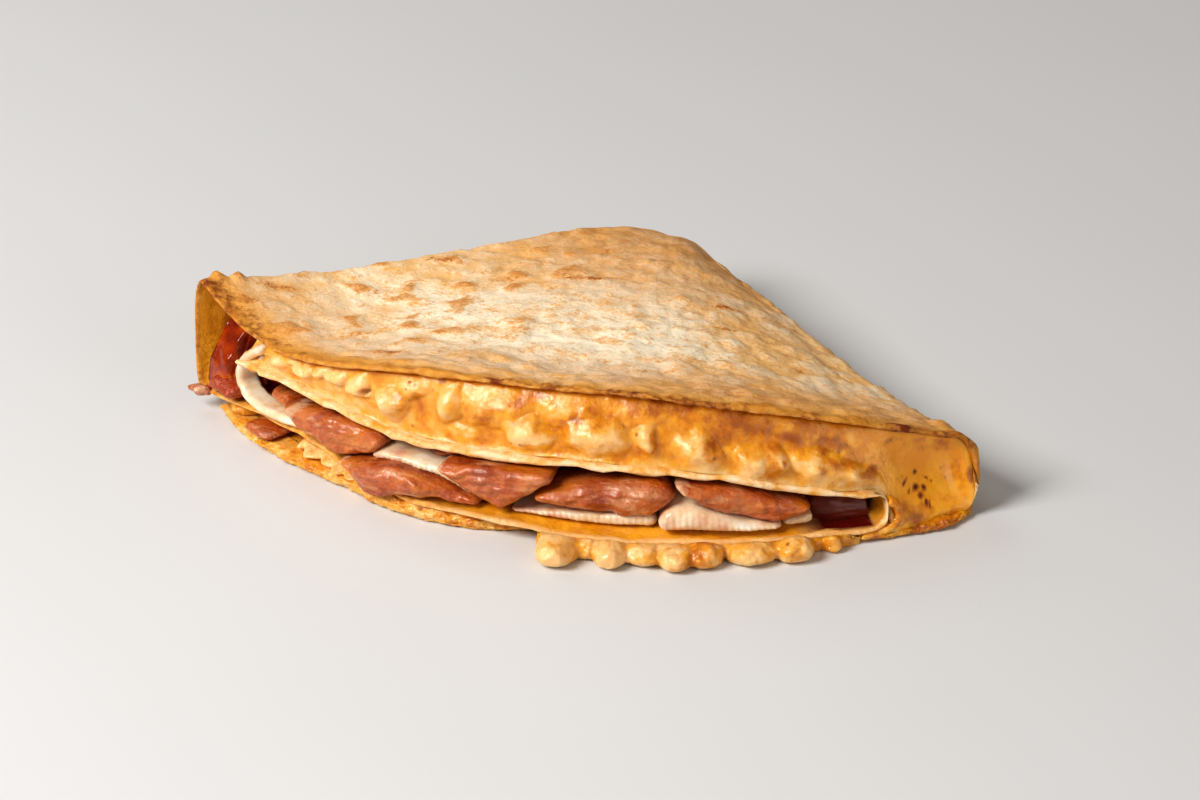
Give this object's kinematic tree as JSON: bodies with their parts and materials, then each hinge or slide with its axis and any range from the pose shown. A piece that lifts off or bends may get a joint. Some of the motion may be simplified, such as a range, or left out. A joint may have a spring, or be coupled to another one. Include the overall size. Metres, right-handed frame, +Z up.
{
  "type": "bacon wrap",
  "caption": "Toasted flour tortilla folded into a quarter-round wrap, filled with melted cheese, bacon, onion and dark red sauce.",
  "frame": {"origin": "middle of the bounding box, on the surface the wrap rests on", "axes": "+Z up; +Y towards the folded tip; -Y towards the open rounded rim with the fillings; +X to the right fold, along the wrap's longest extent"},
  "size_m": [0.1826, 0.1354, 0.0345],
  "materials": {
    "tortilla": "toasted flour tortilla: matt cream with brown toast marks",
    "cheese": "melted cheese: satin, creamy yellow to amber",
    "sauce": "barbecue sauce: dark red, glossy",
    "bacon": "cooked bacon: moist salmon red with pale fat",
    "onion": "softened onion: translucent, pinkish white"
  },
  "bodies": {
    "root": {"tortilla": "tortilla", "cheese_upper": "cheese", "cheese_lower": "cheese", "sauce": "sauce", "bacon_1": "bacon", "bacon_2": "bacon", "bacon_3": "bacon", "bacon_4": "bacon", "bacon_5": "bacon", "bacon_6": "bacon", "bacon_corner": "bacon", "bacon_end": "bacon", "onion_1": "onion", "onion_2": "onion", "onion_3": "onion", "onion_4": "onion", "onion_5": "onion"}
  },
  "joints": []
}
